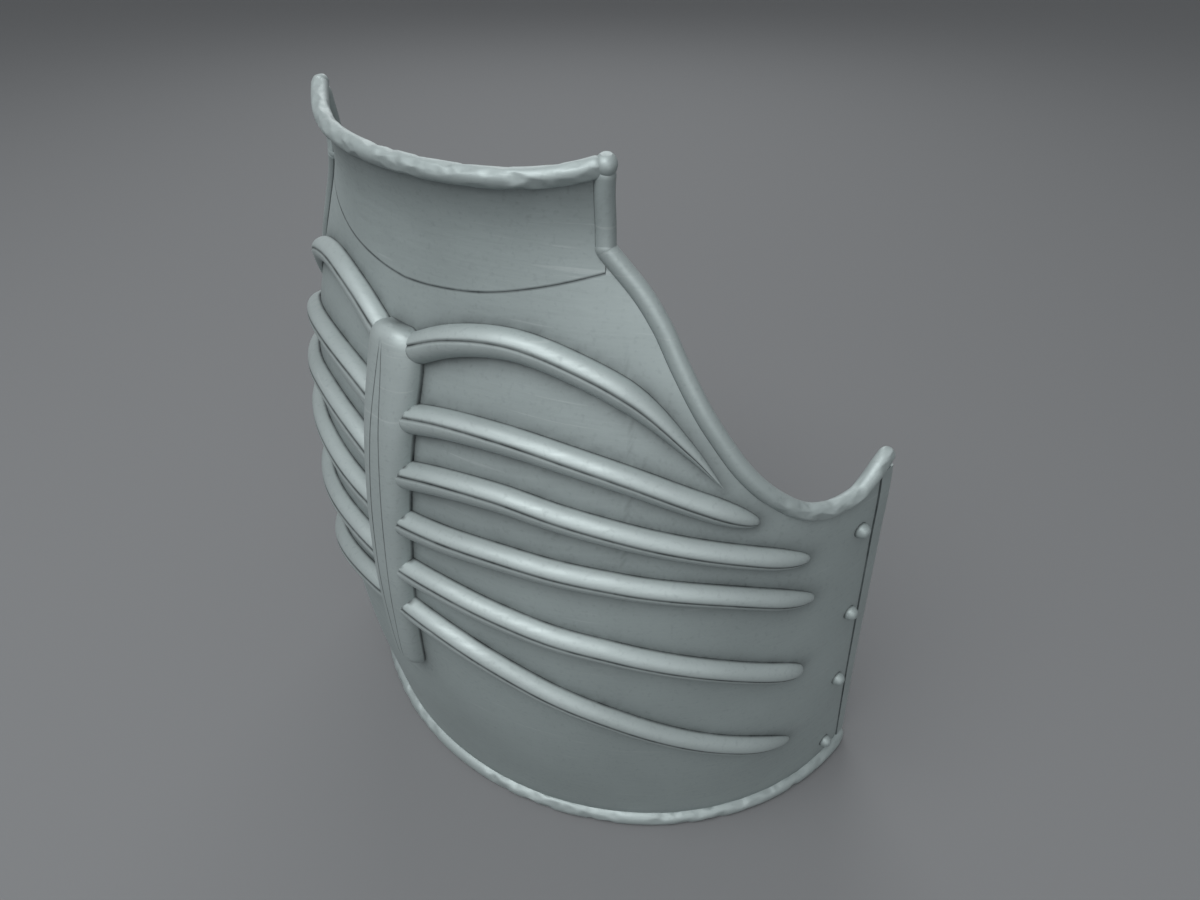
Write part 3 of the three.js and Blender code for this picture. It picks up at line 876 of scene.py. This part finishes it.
@dataclass
class Beads:
    """Rounded rims on the collar and armholes, some of them hammered."""

    form: BodyForm
    sides: int = 56
    meeting_side: int = 12
    ring_step: float = 1.1
    seed: int = 11
    flat_step: float = 3.6
    flat_depth: float = 0.13
    strikes_a_step: float = 2.4
    most_tilt: float = 0.16
    least_strike: float = 0.25
    ball_top: float = 0.86

    def bead(self, name: str, places: Sequence[tuple[float, float]], surface: Surface, plate_way: int,
             hammered_from: float = 0.0, radius: float = BEAD_RADIUS) -> bpy.types.Object:
        """Model one bead in the middle of the wall.

        Args:
            name: The piece's name.
            places: Angle and height of places along it.
            surface: How its metal was left.
            plate_way: Sign of the turn on which the plate lies.
            hammered_from: Share of its length where hammering starts.
            radius: The bead's radius.

        Returns:
            The closed bead, round at its far end.
        """
        course = Course(self.form, tuple(places), WALL / 2)
        length = course.length()
        draws = np.random.default_rng(self.seed + len(name))

        def skin(share: np.ndarray, turn: np.ndarray) -> np.ndarray:
            """Points of the bead's round section, with hammered flats.

            Args:
                share: Shares of the length.
                turn: Turns round the section, in radians.

            Returns:
                Points in millimetres.
            """
            out, across = course.axes(share)
            radial = BEAD_RADIUS * np.stack([np.cos(turn), np.sin(turn)], -1)
            if surface is Surface.HAMMERED:
                radial = self.hammer(radial, share * length, length, hammered_from * length, draws)
            into_end = np.clip(1 - (1 - share) * length / radius, 0, 0.98)
            radial = radial * (radius / BEAD_RADIUS * np.sqrt(1 - into_end ** 2))[:, None]
            return course.middle(share) + out * radial[:, :1] + across * radial[:, 1:]

        def paint_shade_and_lines(share: np.ndarray, turn: np.ndarray) -> np.ndarray:
            """Painted shade along the line where the bead meets the plate.

            Args:
                share: Shares of the length.
                turn: Turns round the section, in radians.

            Returns:
                The darkness of creases.
            """
            meeting = plate_way * 2 * math.pi * self.meeting_side / self.sides
            return np.clip(1.7 - np.abs(turn - meeting) * self.sides / (2 * math.pi), 0, 1)

        made = Bench.swept(name, max(8, int(length / self.ring_step)), self.sides, skin, paint_shade_and_lines)
        Bench.shade(made, 34)
        return made

    def hammer(self, radial: np.ndarray, run: np.ndarray, length: float, start: float,
               draws: np.random.Generator) -> np.ndarray:
        """Strike flats into a round section.

        Args:
            radial: Section offsets from the bead's middle.
            run: Distance of each point along the bead.
            length: The bead's length.
            start: Distance where the hammering starts.
            draws: Source of the strikes.

        Returns:
            The struck offsets.
        """
        struck = radial.copy()
        for _ in range(int((length - start) / self.flat_step * self.strikes_a_step)):
            where = draws.uniform(start, length)
            facing = draws.uniform(-math.pi, math.pi)
            tilt = draws.uniform(-self.most_tilt, self.most_tilt)
            limit = BEAD_RADIUS * (1 - self.flat_depth * draws.uniform(self.least_strike, 1.0))
            toward = np.array([math.cos(facing), math.sin(facing)])
            over = struck @ toward + tilt * (run - where) - limit
            near = np.clip(1.6 - np.abs(run - where) / self.flat_step, 0, 1)
            struck -= np.maximum(over, 0)[:, None] * near[:, None] * toward
        return struck

    def ball(self, angle: float, z: float) -> bpy.types.Object:
        """Model the ball at a corner or tip.

        Args:
            angle: Degrees round the body.
            z: Height over the plate's lower edge.

        Returns:
            The ball.
        """
        middle = self.form.inside(np.array(angle), np.array(z), WALL / 2)
        out = self.form.normal(np.array(angle), np.array(z))

        def skin(share: np.ndarray, turn: np.ndarray) -> np.ndarray:
            """Points of a ball that is a little flat on top.

            Args:
                share: Shares of the length.
                turn: Turns round the section, in radians.

            Returns:
                Points in millimetres.
            """
            polar = math.pi * (0.02 + 0.96 * share)
            flat_top = np.minimum(np.cos(polar), self.ball_top)
            ring = np.sin(polar)
            across = np.cross(out, [0, 0, 1.0])
            return middle + BALL_RADIUS * (
                (ring * np.cos(turn))[:, None] * out + (ring * np.sin(turn))[:, None] * across
                + flat_top[:, None] * np.array([0, 0, 1.0]))

        made = Bench.swept("corner_ball", 14, 24, skin)
        Bench.shade(made, 34)
        return made

    def join(self, main: bpy.types.Object, others: Sequence[bpy.types.Object]) -> bpy.types.Object:
        """Join other meshes into a main one.

        Args:
            main: The mesh that stays.
            others: The meshes joined into it.

        Returns:
            The main mesh.
        """
        Bench.only(main)
        for other in others:
            other.select_set(True)
        bpy.ops.object.join()
        return main

    def collar(self) -> Piece:
        """Model the collar's top rim with a ball on each tip.

        Returns:
            The piece.
        """
        angles = np.linspace(-COLLAR_TIP_ANGLE, COLLAR_TIP_ANGLE, 25)
        places = [(float(angle), float(collar_height(angle))) for angle in angles]
        rim = self.bead("collar_rim_dressed", places, Surface.HAMMERED, 1)
        balls = [self.ball(*places[0]), self.ball(*places[-1])]
        return Piece(self.join(rim, balls), RIM_FINISH, ("collar_rim",))

    def collar_end(self, side: Side) -> Piece:
        """Model the upright bead on one end of the collar.

        Args:
            side: The wearer's side.

        Returns:
            The piece.
        """
        corner_angle, corner_height = collar_corner()
        tip_height = COLLAR_FRONT_HEIGHT + COLLAR_TIP_RISE
        shares = np.linspace(0.0, 1.0, 5)
        places = [(side.value * float(corner_angle + (COLLAR_TIP_ANGLE - corner_angle) * share),
                   float(corner_height + (tip_height - corner_height) * share)) for share in shares]
        name = f"collar_end_rim_{side.name.lower()}"
        return Piece(self.bead(f"{name}_dressed", places, Surface.SMOOTH, -side.value), RIM_FINISH, (name,))

    def arm(self, side: Side) -> Piece:
        """Model one armhole's bead, smooth above and hammered below.

        Args:
            side: The wearer's side.

        Returns:
            The piece.
        """
        places = [(side.value * angle, z) for angle, z in (collar_corner(), *ARMHOLE_ROWS[1:])]
        name = f"arm_rim_{side.name.lower()}"
        rim = self.bead(f"{name}_dressed", places, Surface.HAMMERED, side.value, 0.62, ARM_BEAD_RADIUS)
        return Piece(self.join(rim, [self.ball(*places[0])]), RIM_FINISH, (name,))


@dataclass
class Waist:
    """The heavy lip round the lower edge."""

    form: BodyForm
    beads: Beads
    stations: int = 420
    sides: int = 32
    end_run: float = 9.0

    def lip(self) -> Piece:
        """Model the lip, flat where it stands.

        Returns:
            The piece.
        """
        draws = np.random.default_rng(self.beads.seed)

        def skin(share: np.ndarray, turn: np.ndarray) -> np.ndarray:
            """Points of the lip's section, struck with flats.

            Args:
                share: Shares of the length.
                turn: Turns round the section, in radians.

            Returns:
                Points in millimetres.
            """
            angle = WAIST_EDGE_ANGLE * (2 * share - 1)
            out = self.form.normal(angle, np.zeros_like(angle))
            out[:, 2] = 0
            out = unit(out)
            length = 2 * math.radians(WAIST_EDGE_ANGLE) * WAIST_FRONT
            radial = BEAD_RADIUS * np.stack([np.cos(turn), np.sin(turn)], -1)
            radial = self.beads.hammer(radial, share * length, length, 0.0, draws) / BEAD_RADIUS
            from_end = (1 - np.abs(2 * share - 1)) * length / 2
            radial = radial * (0.4 + 0.6 * np.clip(from_end / self.end_run, 0, 1) ** 0.5)[:, None]
            middle = (LIP_TOP - LIP_DROP) / 2
            up = np.maximum(middle + (LIP_TOP + LIP_DROP) * 0.54 * radial[:, 1], -LIP_DROP)
            edge = self.form.point(angle, np.zeros_like(angle)) - out * WALL / 2
            points = edge + out * (LIP_OUT * radial[:, :1])
            points[:, 2] = self.form.lift + up
            return points

        made = Bench.swept("waist_rim_dressed", self.stations, self.sides, skin)
        Bench.shade(made, 34)
        return Piece(made, RIM_FINISH, ("waist_rim",))


@dataclass
class Hems:
    """Folded strips over the upright side edges."""

    form: BodyForm
    overlap: float = 9.0
    beyond: float = 1.8
    half_wall: float = 1.7
    low: float = 3.6
    high: float = 257.0
    squareness: float = 0.3

    def hem(self, side: Side) -> Piece:
        """Model one side's strip.

        Args:
            side: The wearer's side.

        Returns:
            The piece.
        """
        tip = ARMHOLE_ROWS[-1][1]

        def skin(share: np.ndarray, turn: np.ndarray) -> np.ndarray:
            """Points of the strip's flat section with round folds.

            Args:
                share: Shares of the length.
                turn: Turns round the section, in radians.

            Returns:
                Points in millimetres.
            """
            z = self.low + (self.high - self.low) * share
            angle = side.value * (WAIST_EDGE_ANGLE + (SIDE_TIP_ANGLE - WAIST_EDGE_ANGLE) * z / tip)
            out = self.form.normal(angle, z)
            back = unit(np.cross(np.array([0, 0, side.value], float), out))
            wide = np.sign(np.cos(turn)) * np.abs(np.cos(turn)) ** self.squareness
            thick = np.sign(np.sin(turn)) * np.abs(np.sin(turn)) ** self.squareness
            half = (self.overlap + self.beyond) / 2
            middle = self.form.inside(angle, z, WALL / 2) + back * (self.beyond - half)
            return middle + back * (half * wide)[:, None] + out * (self.half_wall * thick)[:, None]

        def paint_shade_and_lines(share: np.ndarray, turn: np.ndarray) -> np.ndarray:
            """Painted shade along the strip's front fold, where it lies on the plate.

            Args:
                share: Shares of the length.
                turn: Turns round the section, in radians.

            Returns:
                The darkness of creases.
            """
            return 0.9 * (np.cos(turn) < -0.8)

        name = f"side_hem_{side.name.lower()}"
        made = Bench.swept(f"{name}_dressed", 90, 40, skin, paint_shade_and_lines)
        Bench.shade(made, 40)
        return Piece(made, PLATE_FINISH, (name,))


@dataclass
class Sternum:
    """The upright bar down the middle of the front."""

    form: BodyForm
    stations: int = 150
    sides: int = 288
    sunk: float = 1.0
    facet_turn: float = math.radians(7.5)
    crown: float = 1.2

    @staticmethod
    def half_width(z: np.ndarray, rise: np.ndarray) -> np.ndarray:
        """Half width of the bar, or less than nothing above it.

        Args:
            z: Heights over the plate's lower edge.
            rise: Heights off the plate.

        Returns:
            The half widths.
        """
        heights, widths, proud, _ = np.array(BAR_ROWS, float).T
        tall = np.interp(z, heights, proud)
        share = np.clip(rise / tall, 0, 1.2)
        half = np.interp(z, heights, widths) * np.sqrt(np.maximum(1 - share ** 2.4, 0))
        return np.where((share > 1) | (z > heights[-1]), -50.0, half)

    def bar(self) -> Piece:
        """Model the bar with its crowned flanks and narrow front facet.

        Returns:
            The piece.
        """
        heights, widths, proud, facets = np.array(BAR_ROWS, float).T

        def skin(share: np.ndarray, turn: np.ndarray) -> np.ndarray:
            """Points of the bar's crowned section.

            Args:
                share: Shares of the length.
                turn: Turns round the section, in radians.

            Returns:
                Points in millimetres.
            """
            z = heights[0] + (heights[-1] - heights[0]) * share
            half = smooth(heights, widths, z)
            tall = smooth(heights, proud, z)
            facet = smooth(heights, facets, z)
            from_front = np.abs(turn - math.pi / 2)
            on_flank = np.clip((from_front - self.facet_turn) / (math.pi / 2 - self.facet_turn), 0, 1)
            rise = np.cos(on_flank * math.pi / 2) ** (1 / self.crown)
            across = facet + (half - facet) * np.sin(on_flank * math.pi / 2) ** (1 / self.crown)
            across = np.where(from_front < self.facet_turn, facet * from_front / self.facet_turn, across)
            under = np.sin(turn) < 0
            across = np.where(under, half * np.abs(np.cos(turn)), across)
            up = np.where(under, -self.sunk, rise * tall)
            out = self.form.normal(np.zeros_like(z), z)
            points = self.form.point(np.zeros_like(z), z) + out * up[:, None]
            points[:, 0] = np.sign(np.cos(turn)) * across
            return points

        def paint_shade_and_lines(share: np.ndarray, turn: np.ndarray) -> np.ndarray:
            """Painted shade at the bar's foot, painted dark lines along the facet's edges and a slightly
            darker top end.

            Args:
                share: Shares of the length.
                turn: Turns round the section, in radians.

            Returns:
                The darkness of creases.
            """
            from_front = np.abs(turn - math.pi / 2)
            inside = np.clip((share - 0.02) / 0.03, 0, 1) * np.clip((0.965 - share) / 0.03, 0, 1)
            line = (np.abs(from_front - self.facet_turn) < math.pi / self.sides) * inside
            foot = np.clip((from_front - 1.46) / 0.1, 0, 1)
            cap = np.clip(1 - (1 - share) / 0.006, 0, 1) * (from_front < 1.5)
            return np.maximum.reduce([line, foot * 0.9, cap * 0.3])

        made = Bench.swept("sternum_bar_dressed", self.stations, self.sides, skin, paint_shade_and_lines)
        Bench.shade(made, 30)
        return Piece(made, RIB_FINISH, ("sternum_bar",))


@dataclass
class Rivets:
    """Small pointed rivets in front of the side hems."""

    form: BodyForm
    radius: float = 4.3
    height: float = 4.6
    foot: float = 0.2

    def rivet(self, side: Side, number: int) -> Piece:
        """Model one rivet's head.

        Args:
            side: The wearer's side.
            number: The rivet's place from the top.

        Returns:
            The piece.
        """
        angle, z = RIVET_PLACES[number - 1]
        middle = self.form.point(np.array(side.value * angle), np.array(z))
        out = self.form.normal(np.array(side.value * angle), np.array(z))
        upright = unit(np.array([0, 0, 1.0]) - out * out[2])
        across = np.cross(upright, out)

        def skin(share: np.ndarray, turn: np.ndarray) -> np.ndarray:
            """Points of the domed head over its short straight foot.

            Args:
                share: Shares of the length.
                turn: Turns round the section, in radians.

            Returns:
                Points in millimetres.
            """
            climb = np.clip((share - 0.2) / 0.8, 0, 1)
            ring = self.radius * np.cos(climb * math.pi / 2 * 0.98) ** 0.8
            ring = np.where(share < 0.1, ring * share / 0.1, ring)
            up = self.height * np.sin(climb * math.pi / 2) ** 1.25 + np.where(share < 0.15, -self.foot, 0.5)
            return middle + out * up[:, None] + (
                across * np.cos(turn)[:, None] + upright * np.sin(turn)[:, None]) * ring[:, None]

        name = f"rivet_{side.name.lower()}_{number}"
        made = Bench.swept(f"{name}_dressed", 26, 28, skin)
        Bench.shade(made, 40)
        # Painted shade at the foot of the rivet, fading over its lowest 1.4 mm.
        rise = np.sum((Bench.coordinates(made) / MM - middle) * out, -1)
        Bench.mask(made, "crease", np.clip(1.0 - rise / 1.4, 0, 1))
        return Piece(made, RIVET_FINISH, (name,))


@dataclass(frozen=True)
class Studio:
    """Grey floor, soft lights and the camera at the photograph's angle.

    Args:
        eye: Camera's place in the form's own millimetres.
        azimuth: Degrees that the camera is turned round the object.
        elevation: Degrees that it looks down.
        lens: Focal length in millimetres.
        sensor: Width of the sensor in millimetres.
        floor_size: Width of the floor in metres.
        floor_grey: Colour of the floor.
        aim: Place that the lights face, in metres.
        air: Strength of the light from all round.
    """

    form: BodyForm
    eye: tuple[float, float, float] = (292.9, -349.8, 491.9)
    azimuth: float = 42.326
    elevation: float = 36.752
    lens: float = 24.13
    sensor: float = 36.0
    floor_size: float = 12.0
    floor_grey: tuple[float, float, float, float] = (0.13, 0.135, 0.14, 1)
    aim: tuple[float, float, float] = (0.0, -0.05, 0.22)
    air: float = 0.5

    def floor(self) -> None:
        """Lay the floor."""
        Bench.clear()
        bpy.ops.mesh.primitive_plane_add(size=self.floor_size, location=(0, 0, 0))
        ground = bpy.context.object
        ground.name = "studio_floor"
        paint = bpy.data.materials.new("grey_floor")
        paint.use_nodes = True
        shader = paint.node_tree.nodes["Principled BSDF"]
        shader.inputs["Base Color"].default_value = self.floor_grey
        shader.inputs["Roughness"].default_value = 0.9
        ground.data.materials.append(paint)

    def light(self, name: str, place: tuple[float, float, float], size: float, power: float) -> None:
        """Hang one soft light that faces the middle of the object.

        Args:
            name: The light's name.
            place: Its place in metres.
            size: Its width in metres.
            power: Its power in watts.
        """
        lamp = bpy.data.lights.new(name, "AREA")
        lamp.size = size
        lamp.energy = power
        holder = bpy.data.objects.new(name, lamp)
        bpy.context.scene.collection.objects.link(holder)
        holder.location = place
        aim = np.array(self.aim) - np.array(place)
        flat = math.hypot(aim[0], aim[1])
        holder.rotation_euler = (math.pi / 2 + math.atan2(aim[2], flat), 0, math.atan2(-aim[0], aim[1]))

    def camera(self) -> None:
        """Set the camera."""
        lens = bpy.data.cameras.new("photo_camera")
        lens.sensor_width = self.sensor
        lens.lens = self.lens
        lens.clip_start = 0.01
        holder = bpy.data.objects.new("photo_camera", lens)
        bpy.context.scene.collection.objects.link(holder)
        x, y, z = self.eye
        holder.location = (x * MM, (y + self.form.back) * MM, (z + self.form.lift) * MM)
        holder.rotation_euler = (math.radians(90 - self.elevation), 0, math.radians(self.azimuth))
        bpy.context.scene.camera = holder

    def set_up(self) -> None:
        """Make the whole studio."""
        self.floor()
        self.light("key_light", (0.1, -1.2, 2.1), 1.5, 52.0)
        self.light("fill_light", (1.7, -1.1, 1.1), 1.4, 12.0)
        self.light("back_light", (-1.3, 1.4, 1.7), 1.5, 20.0)
        world = bpy.data.worlds.new("studio_air")
        world.use_nodes = True
        sky = world.node_tree.nodes["Background"]
        sky.inputs["Color"].default_value = (0.86, 0.88, 0.9, 1)
        sky.inputs["Strength"].default_value = self.air
        bpy.context.scene.world = world
        bpy.context.scene.view_settings.view_transform = "Standard"
        self.camera()


def main() -> None:
    """Build every sub-assembly in order and report each piece."""
    logging.basicConfig(level=logging.INFO, format="%(name)s %(message)s")
    lip_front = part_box("waist_rim")[0][1] / MM
    form = BodyForm(back=lip_front + WAIST_FRONT - WALL / 2 + LIP_OUT, lift=LIP_DROP)
    Studio(form).set_up()
    ribs = Ribs(form)
    plates = Plates(form, ribs)
    beads = Beads(form)
    pieces = [plates.breast(), plates.collar(), beads.collar(), Waist(form, beads).lip(), Sternum(form).bar()]
    for side in Side:
        pieces.append(beads.collar_end(side))
        pieces.append(beads.arm(side))
        pieces.append(Hems(form).hem(side))
        pieces.extend(ribs.build(shape, side, number) for number, shape in enumerate(RIBS, 1))
        pieces.extend(Rivets(form).rivet(side, number) for number in range(1, len(RIVET_PLACES) + 1))
    for piece in pieces:
        piece.fit()
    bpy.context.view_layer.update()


if __name__ == "__main__":
    main()
